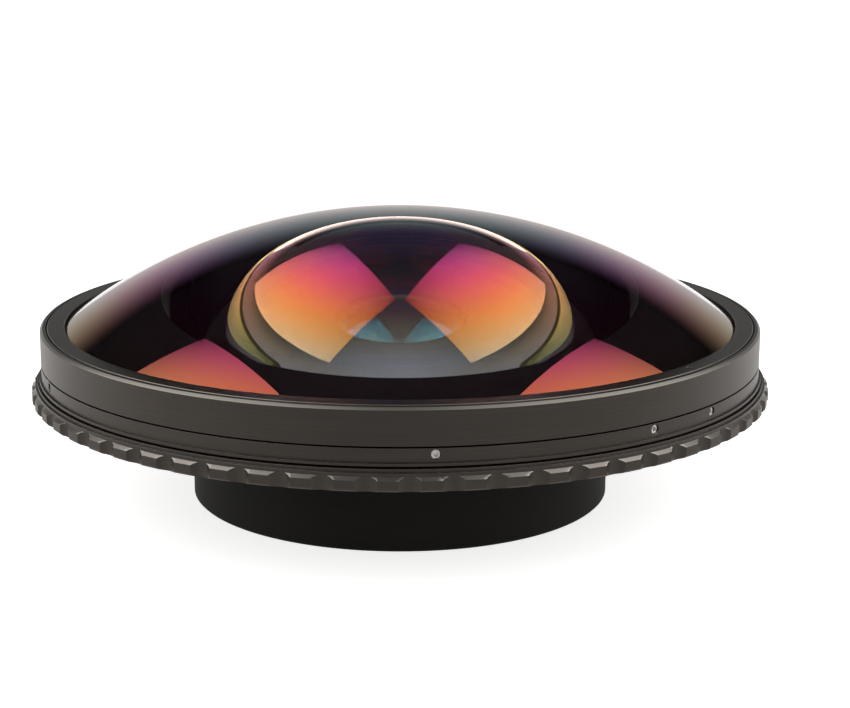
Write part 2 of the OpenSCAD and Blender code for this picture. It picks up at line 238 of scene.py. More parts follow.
# Small rounded edges that catch the light, with flat faces kept flat
def break_edges(piece, width, limit=28, rounds=2):
    pick(piece)
    bpy.ops.object.shade_smooth()
    bevel = piece.modifiers.new("edge_break", "BEVEL")
    bevel.width = width * MM
    bevel.segments = rounds
    bevel.limit_method = "ANGLE"
    bevel.angle_limit = math.radians(limit)
    apply_modifier(piece, bevel)
    bpy.ops.object.shade_smooth_by_angle(angle=math.radians(50))
    even = piece.modifiers.new("even_normals", "WEIGHTED_NORMAL")
    even.keep_sharp = True
    apply_modifier(piece, even)


# Rows of a spherical face from the axis out to its rim: side 1 bulges up, -1 down
def face_rows(curve_r, rim_r, rim_z, side, rows):
    depth = math.sqrt(curve_r ** 2 - rim_r ** 2)
    opening = math.asin(rim_r / curve_r)
    steps = [opening * (i + 1) / rows for i in range(rows)]
    return [(curve_r * math.sin(a), rim_z + side * (curve_r * math.cos(a) - depth)) for a in steps]


# A round glass: front face, ground edge, flat of the back if any, and back face
def ground_glass(name, rim_r, front, back, back_r=None, rows=44):
    back_r = back_r or rim_r
    rim_z, front_curve, front_side = front
    back_z, back_curve, back_side = back
    profile = face_rows(front_curve, rim_r, rim_z, front_side, rows)
    profile.append((rim_r, back_z))
    if back_curve:
        inward = face_rows(back_curve, back_r, back_z, back_side, rows)[::-1]
        profile += inward if back_r < rim_r else inward[1:]
    else:
        profile += [(rim_r * k / FLAT_ROWS, back_z) for k in range(FLAT_ROWS - 1, 0, -1)]
    clear_selection()
    r_now, z_now = profile[0]
    bpy.ops.mesh.primitive_circle_add(
        vertices=GLASS_STEPS, radius=r_now * MM, location=(0, 0, z_now * MM), fill_type="TRIFAN"
    )
    glass = named(name)
    bpy.ops.object.mode_set(mode="EDIT")
    bpy.ops.mesh.select_all(action="SELECT")
    bpy.ops.mesh.region_to_loop()
    for r, z in profile[1:]:
        bpy.ops.mesh.extrude_region_move(TRANSFORM_OT_translate={"value": (0, 0, (z - z_now) * MM)})
        bpy.ops.transform.resize(value=(r / r_now, r / r_now, 1), center_override=(0, 0, 0))
        r_now, z_now = r, z
    bpy.ops.mesh.edge_face_add()
    bpy.ops.mesh.poke()
    close_mesh()
    set_pole(glass, front, rim_r)
    set_pole(glass, back, back_r)
    bpy.ops.object.shade_smooth_by_angle(angle=math.radians(30))
    return glass


# The middle of a face stands at the crown of its curve
def set_pole(glass, face, rim_r):
    rim_z, curve, side = face
    if not curve:
        return
    crown = rim_z + side * (curve - math.sqrt(curve ** 2 - rim_r ** 2))
    middle = [v for v in glass.data.vertices if math.hypot(v.co.x, v.co.y) < 0.01 * MM]
    pole = min(middle, key=lambda v: abs(v.co.z - crown * MM))
    pole.co.z = crown * MM


def dome_centre_z():
    return glass_edge_z - math.sqrt(front_curve_r ** 2 - front_r ** 2)


def dome_z(r):
    return dome_centre_z() + math.sqrt(front_curve_r ** 2 - r ** 2)


def bowl_centre_z():
    return seat_z - math.sqrt(bowl_curve_r ** 2 - bowl_r ** 2)


def make_front_glass():
    return ground_glass(
        "front_glass",
        front_r,
        front=(glass_edge_z, front_curve_r, 1),
        back=(seat_z, bowl_curve_r, 1),
        back_r=bowl_r,
        rows=64,
    )


def make_inner_glasses():
    second = ground_glass(
        "second_glass",
        second_r,
        front=(second_edge_z, second_front_curve_r, 1),
        back=(second_z, second_back_curve_r, 1),
    )
    crown = ground_glass(
        "crown_glass",
        element_r,
        front=(crown_edge_z, crown_curve_r, 1),
        back=(crown_z, cement_curve_r, -1),
    )
    flint = ground_glass(
        "flint_glass",
        element_r,
        front=(crown_z - cement_gap, cement_curve_r, -1),
        back=(flint_z, None, 0),
    )
    return second, crown, flint


def make_retaining_ring():
    ring = turned("retaining_ring", [
        (ring_inner_r, ring_z),
        (ring_r, ring_z),
        (ring_r, shell_top_z - ring_groove_d),
        (ring_top_r, shell_top_z - ring_groove_d),
        (ring_top_r, ring_top_z - ring_top_edge),
        (ring_top_r - ring_top_edge, ring_top_z),
        (ring_bore_r + ring_top_edge, ring_top_z),
        (ring_bore_r, ring_top_z - ring_top_edge),
        (ring_bore_r, dome_z(ring_bore_r) + gasket_t),
        (ring_inner_r, dome_z(ring_inner_r) + gasket_t),
    ])
    clear_selection()
    bpy.ops.mesh.primitive_cylinder_add(
        vertices=32,
        radius=spanner_hole_r * MM,
        depth=2 * spanner_hole_d * MM,
        location=((ring_bore_r + ring_top_r) / 2 * MM, 0, ring_top_z * MM),
    )
    cut_away(ring, round_the_axis(named("spanner_drill"), spanner_angles))
    break_edges(ring, 0.05)
    return ring


def make_shell():
    shell = turned("shell", [
        (band_bore_r, shell_z),
        (head_r, shell_z),
        (head_r, shell_top_z - rim_chamfer),
        (head_r - rim_chamfer, shell_top_z),
        (rim_bore_r, shell_top_z),
        (rim_bore_r, ring_z),
        (band_bore_r, ring_z),
    ])
    break_edges(shell, 0.1)
    return shell


def make_band():
    band = turned("band", [
        (band_bore_r, band_z),
        (ledge_r, band_z),
        (ledge_r, ledge_top_z),
        (head_r, ledge_top_z),
        (head_r, band_top_z),
        (band_bore_r, band_top_z),
    ])
    clear_selection()
    bpy.ops.mesh.primitive_cylinder_add(
        vertices=32,
        radius=screw_hole_r * MM,
        depth=screw_drill_h * MM,
        location=(head_r * MM, 0, screw_z * MM),
        rotation=(0, math.pi / 2, 0),
    )
    cut_away(band, round_the_axis(named("screw_drill"), screw_angles))
    break_edges(band, 0.08)
    return band


def make_screws():
    length = head_r - screw_sink - band_bore_r - screw_gap
    clear_selection()
    bpy.ops.mesh.primitive_cylinder_add(
        vertices=32,
        radius=screw_r * MM,
        depth=length * MM,
        location=((head_r - screw_sink - length / 2) * MM, 0, screw_z * MM),
        rotation=(0, math.pi / 2, 0),
    )
    screw = named("screws")
    clear_selection()
    bpy.ops.mesh.primitive_cylinder_add(
        vertices=6,
        radius=screw_socket_r * MM,
        depth=2 * screw_socket_d * MM,
        location=((head_r - screw_sink) * MM, 0, screw_z * MM),
        rotation=(0, math.pi / 2, 0),
    )
    cut_away(screw, named("socket_punch"))
    break_edges(screw, 0.06)
    return round_the_axis(screw, screw_angles)


def make_lock_ring():
    lock = turned("lock", [
        (lock_thread_r, web_z),
        (web_flat_r, web_z),
        (tooth_r - tooth_edge, tooth_z),
        (tooth_r, tooth_z + tooth_edge),
        (tooth_r, tooth_z + tooth_h),
        (tooth_r - tooth_chamfer, lock_ledge_z),
        (tooth_r - tooth_chamfer, lock_ledge_z + lock_ledge_h),
        (lock_top_r, lock_ledge_z + lock_ledge_h),
        (lock_top_r, lock_top_z),
        (lock_bore_r, lock_top_z),
        (lock_bore_r, web_top_z),
        (pad_out_r, web_top_z),
        (pad_out_r, pad_seat_z),
        (pad_in_r, pad_seat_z),
        (pad_in_r, web_top_z),
        (lock_thread_r, web_top_z),
    ], steps=notch_count * 6)
    clear_selection()
    bpy.ops.mesh.primitive_cylinder_add(
        vertices=64,
        radius=notch_cutter_r * MM,
        depth=(lock_ledge_z + notch_rise - web_z) * MM,
        location=((tooth_r - notch_d + notch_cutter_r) * MM, 0, (lock_ledge_z + notch_rise + web_z) / 2 * MM),
    )
    notch_angles = [notch_phase + i * 360 / notch_count for i in range(notch_count)]
    cut_away(lock, round_the_axis(named("notch_cutter"), notch_angles))
    break_edges(lock, 0.07)
    return lock


def make_barrel():
    barrel = turned("barrel", [
        (thread_seat_r, 0),
        (barrel_r - barrel_chamfer, 0),
        (barrel_r, barrel_chamfer),
        (barrel_r, snap_z),
        (barrel_r - snap_d, snap_z),
        (barrel_r - snap_d, snap_z + snap_t),
        (barrel_r, snap_z + snap_t),
        (barrel_r, barrel_h),
        (bearing_r, barrel_h),
        (bearing_r, bearing_z),
        (lip_r, bearing_z),
        (lip_r, lip_z),
        (bearing_r, lip_z),
        (bearing_r, thread_len),
        (thread_seat_r, thread_len),
    ])
    break_edges(barrel, 0.08)
    return barrel


# Rear ring, with its thread cut outwards from the bore by a three-sided cutter on a helix
def make_thread_ring():
    ring = turned("thread_ring", [
        (thread_bore_r + thread_lead, 0),
        (thread_ring_r, 0),
        (thread_ring_r, thread_len),
        (thread_bore_r, thread_len),
        (thread_bore_r, thread_lead),
    ])
    clear_selection()
    bpy.ops.mesh.primitive_circle_add(
        vertices=3,
        radius=thread_tip_r * MM,
        location=((thread_bore_r + thread_d - thread_tip_r) * MM, 0, -thread_pitch * MM),
        rotation=(math.pi / 2, math.pi / 2, 0),
    )
    cutter = named("thread_cutter")
    helix = cutter.modifiers.new("helix", "SCREW")
    helix.screw_offset = thread_pitch * MM
    helix.iterations = round(thread_len / thread_pitch) + 2
    helix.steps = THREAD_STEPS
    helix.render_steps = THREAD_STEPS
    apply_modifier(cutter, helix)
    bpy.ops.object.mode_set(mode="EDIT")
    bpy.ops.mesh.select_all(action="SELECT")
    bpy.ops.mesh.fill_holes(sides=3)
    close_mesh()
    cut_away(ring, cutter)
    pick(ring)
    bpy.ops.object.shade_smooth_by_angle(angle=math.radians(30))
    return ring


# Shader node helpers
def new_group(name, inputs, outputs):
    tree = bpy.data.node_groups.new(name, "ShaderNodeTree")
    for label, value in inputs:
        socket = tree.interface.new_socket(label, in_out="INPUT", socket_type="NodeSocketFloat")
        socket.default_value = value
    for label in outputs:
        tree.interface.new_socket(label, in_out="OUTPUT", socket_type="NodeSocketFloat")
    return tree, tree.nodes.new("NodeGroupInput"), tree.nodes.new("NodeGroupOutput")


def maths(tree, operation, a, b=None):
    node = tree.nodes.new("ShaderNodeMath")
    node.operation = operation
    for socket, value in zip(node.inputs, (a, b)):
        if value is None:
            continue
        if isinstance(value, (int, float)):
            socket.default_value = value
        else:
            tree.links.new(value, socket)
    return node.outputs[0]


# A point of a piece, whole and split to X, Y and Z
def place_of(tree):
    where = tree.nodes.new("ShaderNodeTexCoord")
    split = tree.nodes.new("ShaderNodeSeparateXYZ")
    tree.links.new(where.outputs["Object"], split.inputs[0])
    return where.outputs["Object"], split.outputs


# Fine rings left by the turning tool, the same way round on walls and faces
def turned_grain_group():
    tree, given, result = new_group("turned_grain", [("Fineness", 6000), ("Waver", 3)], ["Grain"])
    where, (x, y, z) = place_of(tree)
    r = maths(tree, "SQRT", maths(tree, "ADD", maths(tree, "MULTIPLY", x, x), maths(tree, "MULTIPLY", y, y)))
    turn = maths(tree, "ARCTAN2", y, x)
    join = tree.nodes.new("ShaderNodeCombineXYZ")
    tree.links.new(maths(tree, "MULTIPLY", r, given.outputs["Fineness"]), join.inputs[0])
    tree.links.new(maths(tree, "MULTIPLY", z, given.outputs["Fineness"]), join.inputs[1])
    tree.links.new(maths(tree, "MULTIPLY", turn, given.outputs["Waver"]), join.inputs[2])
    noise = tree.nodes.new("ShaderNodeTexNoise")
    noise.inputs["Scale"].default_value = 1
    noise.inputs["Detail"].default_value = 3
    tree.links.new(join.outputs[0], noise.inputs["Vector"])
    tree.links.new(noise.outputs["Fac"], result.inputs["Grain"])
    return tree


# Slow changes of tone, as handling and ageing leave on a finish
def cloud_group():
    tree, given, result = new_group("cloud", [("Scale", 40)], ["Cloud"])
    place = tree.nodes.new("ShaderNodeTexCoord")
    noise = tree.nodes.new("ShaderNodeTexNoise")
    noise.inputs["Detail"].default_value = 4
    tree.links.new(place.outputs["Object"], noise.inputs["Vector"])
    tree.links.new(given.outputs["Scale"], noise.inputs["Scale"])
    tree.links.new(noise.outputs["Fac"], result.inputs["Cloud"])
    return tree


# Scattered specks of dust, a few cells in every hundred hold one
def dust_group():
    tree, given, result = new_group("dust", [("Scale", 300), ("Size", 0.08), ("Share", 0.12)], ["Speck"])
    place = tree.nodes.new("ShaderNodeTexCoord")
    cells = tree.nodes.new("ShaderNodeTexVoronoi")
    tree.links.new(place.outputs["Object"], cells.inputs["Vector"])
    tree.links.new(given.outputs["Scale"], cells.inputs["Scale"])
    split = tree.nodes.new("ShaderNodeSeparateColor")
    tree.links.new(cells.outputs["Color"], split.inputs[0])
    held = maths(tree, "LESS_THAN", split.outputs[0], given.outputs["Share"])
    reach = maths(tree, "MULTIPLY", given.outputs["Size"], split.outputs[1])
    near = maths(tree, "LESS_THAN", cells.outputs["Distance"], reach)
    tree.links.new(maths(tree, "MULTIPLY", held, near), result.inputs["Speck"])
    return tree


turned_grain = turned_grain_group()
cloud = cloud_group()
dust = dust_group()


def place_group(tree, group, **values):
    node = tree.nodes.new("ShaderNodeGroup")
    node.node_tree = group
    for label, value in values.items():
        node.inputs[label.capitalize()].default_value = value
    return node.outputs[0]


def mix_colour(tree, factor, a, b):
    node = tree.nodes.new("ShaderNodeMix")
    node.data_type = "RGBA"
    tree.links.new(factor, node.inputs["Factor"])
    for label, value in (("A", a), ("B", b)):
        socket = next(s for s in node.inputs if s.name == label and s.type == "RGBA")
        if isinstance(value, tuple):
            socket.default_value = (*value, 1)
        else:
            tree.links.new(value, socket)
    return next(s for s in node.outputs if s.type == "RGBA")


# A ramp from low to high while the value goes from start to stop
def in_range(tree, value, low, high, start=0.0, stop=1.0, kind="LINEAR"):
    node = tree.nodes.new("ShaderNodeMapRange")
    node.interpolation_type = kind
    tree.links.new(value, node.inputs["Value"])
    node.inputs["From Min"].default_value = start
    node.inputs["From Max"].default_value = stop
    node.inputs["To Min"].default_value = low
    node.inputs["To Max"].default_value = high
    return node.outputs[0]


def new_material(name):
    finish = bpy.data.materials.new(name)
    finish.use_nodes = True
    tree = finish.node_tree
    tree.nodes.clear()
    surface = tree.nodes.new("ShaderNodeBsdfPrincipled")
    out = tree.nodes.new("ShaderNodeOutputMaterial")
    tree.links.new(surface.outputs[0], out.inputs["Surface"])
    return finish, tree, surface


# Anodised and bare metals: turned grain in tone, gloss and relief, dust on top
def metal_finish(name, dark, pale, rough, relief=0.05, metallic=1.0, specks=0.06, gloss=0.5):
    finish, tree, surface = new_material(name)
    grain = place_group(tree, turned_grain, fineness=6000, waver=3)
    tone = place_group(tree, cloud, scale=45)
    speck = place_group(tree, dust, scale=330, size=0.09, share=specks)
    mixed = maths(tree, "MULTIPLY", maths(tree, "ADD", grain, tone), 0.5)
    bare = mix_colour(tree, in_range(tree, mixed, -0.6, 1.6), dark, pale)
    tree.links.new(mix_colour(tree, speck, bare, (0.55, 0.54, 0.5)), surface.inputs["Base Color"])
    tree.links.new(in_range(tree, mixed, rough[0], rough[1]), surface.inputs["Roughness"])
    surface.inputs["Metallic"].default_value = metallic
    surface.inputs["Specular IOR Level"].default_value = gloss
    bump = tree.nodes.new("ShaderNodeBump")
    bump.inputs["Strength"].default_value = relief
    bump.inputs["Distance"].default_value = 0.00003
    tree.links.new(grain, bump.inputs["Height"])
    tree.links.new(bump.outputs[0], surface.inputs["Normal"])
    return finish


# Dull dark finishes: paint, rubber, fibre and plastic washers
def dull_finish(name, dark, pale, rough, scale=600, gloss=0.5):
    finish, tree, surface = new_material(name)
    tone = place_group(tree, cloud, scale=scale)
    shade = mix_colour(tree, in_range(tree, tone, -0.5, 1.5), dark, pale)
    tree.links.new(shade, surface.inputs["Base Color"])
    tree.links.new(in_range(tree, tone, rough[0], rough[1]), surface.inputs["Roughness"])
    surface.inputs["Specular IOR Level"].default_value = gloss
    bump = tree.nodes.new("ShaderNodeBump")
    bump.inputs["Strength"].default_value = 0.1
    bump.inputs["Distance"].default_value = 0.00005
    tree.links.new(tone, bump.inputs["Height"])
    tree.links.new(bump.outputs[0], surface.inputs["Normal"])
    return finish


GLASS_IOR = 1.52
FILM_IOR = 2.4


# Optical glass with a trace of haze in its polish and a coating that reflects in its own tint
def coated_glass(name, tint, clear=(1.0, 1.0, 1.0)):
    finish, tree, surface = new_material(name)
    tone = place_group(tree, cloud, scale=60)
    faint = tuple(0.97 * c for c in clear)
    tree.links.new(mix_colour(tree, tone, faint, clear), surface.inputs["Base Color"])
    tree.links.new(in_range(tree, tone, 0.0, 0.006), surface.inputs["Roughness"])
    surface.inputs["IOR"].default_value = GLASS_IOR
    surface.inputs["Transmission Weight"].default_value = 1
    surface.inputs["Specular Tint"].default_value = (*tint, 1)
    return finish


def shader_of(finish):
    return next(n for n in finish.node_tree.nodes if n.type == "BSDF_PRINCIPLED")


# A coating that turns pale at a glance and stays dark where it is met from inside the glass
def glancing_coat(finish, tint, glance, inner):
    tree = finish.node_tree
    angle = tree.nodes.new("ShaderNodeLayerWeight")
    side = tree.nodes.new("ShaderNodeNewGeometry")
    slant = in_range(tree, angle.outputs["Facing"], 0.0, 1.0, start=0.5, stop=0.78, kind="SMOOTHSTEP")
    outside = mix_colour(tree, slant, tint, glance)
    tinted = mix_colour(tree, side.outputs["Backfacing"], outside, inner)
    tree.links.new(tinted, shader_of(finish).inputs["Specular Tint"])


# A coating that thins from the middle of a steep face to its rim, in nanometres
def thinning_coat(finish, middle, rim, rim_r, tints=()):
    tree = finish.node_tree
    surface = shader_of(finish)
    where, axes = place_of(tree)
    x, y = axes["X"], axes["Y"]
    spread = maths(tree, "ADD", maths(tree, "MULTIPLY", x, x), maths(tree, "MULTIPLY", y, y))
    share = maths(tree, "DIVIDE", spread, (rim_r * MM) ** 2)
    tree.links.new(in_range(tree, share, middle, rim), surface.inputs["Thin Film Thickness"])
    surface.inputs["Thin Film IOR"].default_value = FILM_IOR
    if tints:
        ramp = tree.nodes.new("ShaderNodeValToRGB")
        stops = ramp.color_ramp.elements
        while len(stops) < len(tints):
            stops.new(0.5)
        for stop, (place_at, tint) in zip(stops, tints):
            stop.position = place_at
            stop.color = (*tint, 1)
        tree.links.new(share, ramp.inputs[0])
        tree.links.new(ramp.outputs[0], surface.inputs["Specular Tint"])


head_metal = metal_finish(
    "head_anodised", (0.059, 0.051, 0.045), (0.081, 0.071, 0.063), (0.38, 0.48), relief=0.03
)
ring_metal = metal_finish("ring_anodised", (0.050, 0.046, 0.041), (0.080, 0.074, 0.066), (0.36, 0.50))
cut_metal = metal_finish("bright_cut_edge", (0.25, 0.227, 0.208), (0.37, 0.343, 0.316), (0.26, 0.36))
rim_metal = metal_finish("rim_cut_edge", (0.15, 0.14, 0.125), (0.22, 0.205, 0.185), (0.34, 0.44))
barrel_metal = metal_finish(
    "barrel_satin", (0.013, 0.0125, 0.0115), (0.020, 0.019, 0.0175), (0.6, 0.72),
    relief=0.08, metallic=0.0, gloss=0.1,
)
cell_metal = metal_finish(
    "cell_matt_black", (0.004, 0.004, 0.004), (0.009, 0.009, 0.009), (0.6, 0.75),
    metallic=0.0, specks=0.0, gloss=0.15,
)
steel = metal_finish("bright_steel", (0.50, 0.49, 0.47), (0.66, 0.65, 0.62), (0.16, 0.3), specks=0.0)
washer_plastic = dull_finish("washer_plastic", (0.55, 0.53, 0.47), (0.68, 0.66, 0.60), (0.4, 0.55))
pad_fibre = dull_finish("pad_fibre", (0.035, 0.03, 0.026), (0.07, 0.06, 0.05), (0.7, 0.9), scale=1500)
black_rubber = dull_finish("black_rubber", (0.012, 0.012, 0.012), (0.022, 0.022, 0.022), (0.55, 0.75))
edge_paint = dull_finish("edge_paint", (0.003, 0.003, 0.003), (0.006, 0.006, 0.006), (0.6, 0.8), gloss=0.15)
front_tint = (1.0, 0.27, 0.68)
bowl_tint = (1.0, 0.45, 0.92)
bowl_middle_tint = (0.55, 0.95, 0.95)
second_tint = (0.15, 0.22, 0.24)
inside_tint = (0.1, 0.1, 0.1)
front_coat = coated_glass("front_coated_glass", front_tint, clear=(1.0, 0.64, 0.80))
glancing_coat(front_coat, front_tint, (1.0, 0.77, 0.78), inside_tint)
thinning_coat(front_coat, 280, 198, front_r)
bowl_coat = coated_glass("bowl_coated_glass", bowl_tint)
bowl_tints = ((0.12, bowl_middle_tint), (0.42, bowl_tint), (1.0, bowl_tint))
thinning_coat(bowl_coat, 368, 255, bowl_r, bowl_tints)
second_coat = coated_glass("second_coated_glass", second_tint)
glancing_coat(second_coat, second_tint, (0.05, 0.05, 0.05), inside_tint)
second_shader = shader_of(second_coat)
second_shader.inputs["Thin Film Thickness"].default_value = 153
second_shader.inputs["Thin Film IOR"].default_value = FILM_IOR
inner_coat = coated_glass("inner_coated_glass", (0.14, 0.55, 0.62))


def dress(piece, finish):
    piece.data.materials.clear()
    piece.data.materials.append(finish)


def place(piece, body, slot, finish, *nodes):
    dress(piece, finish)
    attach(piece, body)
    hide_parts(*nodes)


# Dome coated, bowl coated, flat of the back and ground edge painted black
def dress_front_glass(glass):
    for finish in (bowl_coat, edge_paint):
        glass.data.materials.append(finish)
    dome_centre = Vector((0, 0, dome_centre_z() * MM))
    bowl_centre = Vector((0, 0, bowl_centre_z() * MM))
    for face in glass.data.polygons:
        on_dome = abs((face.center - dome_centre).length - front_curve_r * MM) < FACE_SLACK
        on_bowl = abs((face.center - bowl_centre).length - bowl_curve_r * MM) < FACE_SLACK
        face.material_index = 0 if on_dome else 1 if on_bowl else 2


# Flat edges of an inner glass are painted too
def dress_inner_glass(glass):
    glass.data.materials.append(edge_paint)
    for face in glass.data.polygons:
        face.material_index = 1 if abs(face.normal.z) < 0.2 else 0


# Chamfers and broken edges that face upwards are cut bright through the finish
def brighten_edges(piece, finish):
    piece.data.materials.append(finish)
    for face in piece.data.polygons:
        if 0.3 < face.normal.z < 0.94:
            face.material_index = 1


front_glass = make_front_glass()
place(front_glass, "head", "front_glass", front_coat, "front_element")
dress_front_glass(front_glass)
second, crown, flint = make_inner_glasses()
place(second, "head", "inner_glass", second_coat, "second_element")
place(crown, "head", "inner_glass", inner_coat, "crown_element")
place(flint, "head", "inner_glass", inner_coat, "flint_element")
for glass in (second, crown, flint):
    dress_inner_glass(glass)
retaining_ring = make_retaining_ring()
shell = make_shell()
band = make_band()
lock = make_lock_ring()
place(retaining_ring, "head", "head_metal", ring_metal, "front_retaining_ring")
place(shell, "head", "head_metal", head_metal, "head_shell")
place(band, "head", "head_metal", head_metal, "lower_band")
place(lock, "lock", "head_metal", head_metal, "lock_ring")
for piece, finish in ((retaining_ring, rim_metal), (shell, rim_metal), (band, cut_metal), (lock, cut_metal)):
    brighten_edges(piece, finish)
place(make_screws(), "head", "steel", steel, "set_screws")
place(make_barrel(), "mount", "barrel_metal", barrel_metal, "rear_barrel")
place(make_thread_ring(), "mount", "barrel_metal", barrel_metal, "mount_thread_ring")

# Finishes of the pieces kept from the frame
kept = {
    "lip_washer": washer_plastic,
    "barrel_washer": washer_plastic,
    "lock_snap_ring": steel,
    "lock_pad": pad_fibre,
    "head_base": cell_metal,
    "seat_shim": edge_paint,
    "front_gasket": black_rubber,
    "swivel_neck": cell_metal,
    "swivel_retaining_ring": steel,
    "lens_cell": cell_metal,
    "rear_retaining_ring": cell_metal,
    "element_spacer": cell_metal,
    "second_retaining_ring": cell_metal,
}
for node, finish in kept.items():
    dress(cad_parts[node], finish)


# One for light that went through the front glass and out of it again, none for light from deeper in
def front_glass_only(tree, path):
    near = maths(tree, "LESS_THAN", path.outputs["Transmission Depth"], 2.5)
    return maths(tree, "MULTIPLY", near, path.outputs["Is Transmission Ray"])


# A finish that glows, for cards and soft boxes
def new_glow(name):
    finish = bpy.data.materials.new(name)
    finish.use_nodes = True
    tree = finish.node_tree
    tree.nodes.clear()
    glow = tree.nodes.new("ShaderNodeEmission")
    out = tree.nodes.new("ShaderNodeOutputMaterial")
    tree.links.new(glow.outputs[0], out.inputs["Surface"])
    return finish, tree, glow


# White floor that keeps the shadow, painted black under the barrel where the lens shades it, painted darker
# in front where it is mirrored and at the sides and deeper through the glass, and warm through the glass
def floor_finish():
    finish, tree, glow = new_glow("studio_white")
    paper = tree.nodes.new("ShaderNodeBsdfDiffuse")
    both = tree.nodes.new("ShaderNodeAddShader")
    path = tree.nodes.new("ShaderNodeLightPath")
    through_glass = path.outputs["Is Transmission Ray"]
    where, axes = place_of(tree)
    length = tree.nodes.new("ShaderNodeVectorMath")
    length.operation = "LENGTH"
    tree.links.new(where, length.inputs[0])
    far = in_range(tree, length.outputs["Value"], 0.72, 1.0, start=0.12, stop=0.6, kind="SMOOTHSTEP")
    # Painted shade: paper and glow are black under the barrel
    outside_painted_barrel_shade = maths(tree, "GREATER_THAN", length.outputs["Value"], (barrel_r - 1) * MM)
    mirrored = maths(tree, "MAXIMUM", path.outputs["Is Glossy Ray"], through_glass)
    # Painted shade in what glass and metal mirror: darker in front, at the sides through the glass and seen
    # deeper in the glass
    in_front = in_range(tree, axes["Y"], 0.0, 0.76, start=0.12, stop=-0.22)
    at_sides = in_range(tree, maths(tree, "ABSOLUTE", axes["X"]), 0.0, 0.9, start=0.55, stop=0.75)
    painted_floor_shade = maths(tree, "MULTIPLY", mirrored, in_front)
    painted_floor_shade = maths(tree, "MAXIMUM", painted_floor_shade, maths(tree, "MULTIPLY", through_glass, at_sides))
    deep = maths(tree, "SUBTRACT", through_glass, front_glass_only(tree, path))
    painted_floor_shade = maths(tree, "MAXIMUM", painted_floor_shade, maths(tree, "MULTIPLY", deep, 0.9))
    not_painted_dark = maths(tree, "MULTIPLY", outside_painted_barrel_shade, maths(tree, "SUBTRACT", 1.0, painted_floor_shade))
    fibres = place_group(tree, cloud, scale=30)
    white = mix_colour(tree, fibres, (0.78, 0.78, 0.77), (0.82, 0.82, 0.81))
    through = mix_colour(tree, through_glass, white, (0.97, 0.98, 0.4))
    tree.links.new(mix_colour(tree, not_painted_dark, (0.0, 0.0, 0.0), through), paper.inputs["Color"])
    tone = mix_colour(tree, through_glass, (1.0, 1.0, 1.0), (1.25, 1.25, 0.5))
    tree.links.new(tone, glow.inputs["Color"])
    seen = maths(tree, "MULTIPLY", maths(tree, "MAXIMUM", mirrored, path.outputs["Is Camera Ray"]), not_painted_dark)
    tree.links.new(maths(tree, "MULTIPLY", seen, far), glow.inputs["Strength"])
    tree.links.new(paper.outputs[0], both.inputs[0])
    tree.links.new(glow.outputs[0], both.inputs[1])
    out = next(n for n in tree.nodes if n.type == "OUTPUT_MATERIAL")
    tree.links.new(both.outputs[0], out.inputs["Surface"])
    return finish


# Standing card whose glow is painted to fade towards its top, as a card lit from below would
def card_finish(name):
    finish, tree, glow = new_glow(name)
    path = tree.nodes.new("ShaderNodeLightPath")
    through_glass = path.outputs["Is Transmission Ray"]
    where, axes = place_of(tree)
    fade = in_range(tree, axes["Z"], card_level, 0.0, stop=card_h, kind="SMOOTHSTEP")
    # Painted light through the glass: seen once through the front glass its low part glows up to five and a
    # half times as bright, green tinted; seen deeper it is dimmed
    low = in_range(tree, axes["Z"], 4.5, 0.0, stop=0.85)
    once = front_glass_only(tree, path)
    painted_low_glow = maths(tree, "MULTIPLY", once, low)
    deep = maths(tree, "SUBTRACT", through_glass, once)
    strength = maths(tree, "SUBTRACT", maths(tree, "ADD", painted_low_glow, 1.0), maths(tree, "MULTIPLY", deep, 0.9))
    strength = maths(tree, "MULTIPLY", fade, strength)
    tree.links.new(maths(tree, "MAXIMUM", strength, path.outputs["Is Camera Ray"]), glow.inputs["Strength"])
    tone = mix_colour(tree, through_glass, (1.0, 1.0, 1.0), (0.8, 1.0, 0.72))
    tree.links.new(tone, glow.inputs["Color"])
    return finish


def make_floor():
    clear_selection()
    bpy.ops.mesh.primitive_plane_add(size=floor_w, location=(0, 0, 0))
    floor = named("floor")
    bpy.ops.object.mode_set(mode="EDIT")
    bpy.ops.mesh.subdivide(number_cuts=4)
    bpy.ops.object.mode_set(mode="OBJECT")
    dress(floor, floor_finish())


def make_back_card():
    clear_selection()
    bpy.ops.mesh.primitive_plane_add(size=1, location=(0, card_y, card_h / 2), rotation=(math.pi / 2, 0, 0))
    bpy.context.object.scale = (card_w, card_h, 1)
    card = named("back_card")
    dress(card, card_finish("back_card"))


make_floor()
make_back_card()


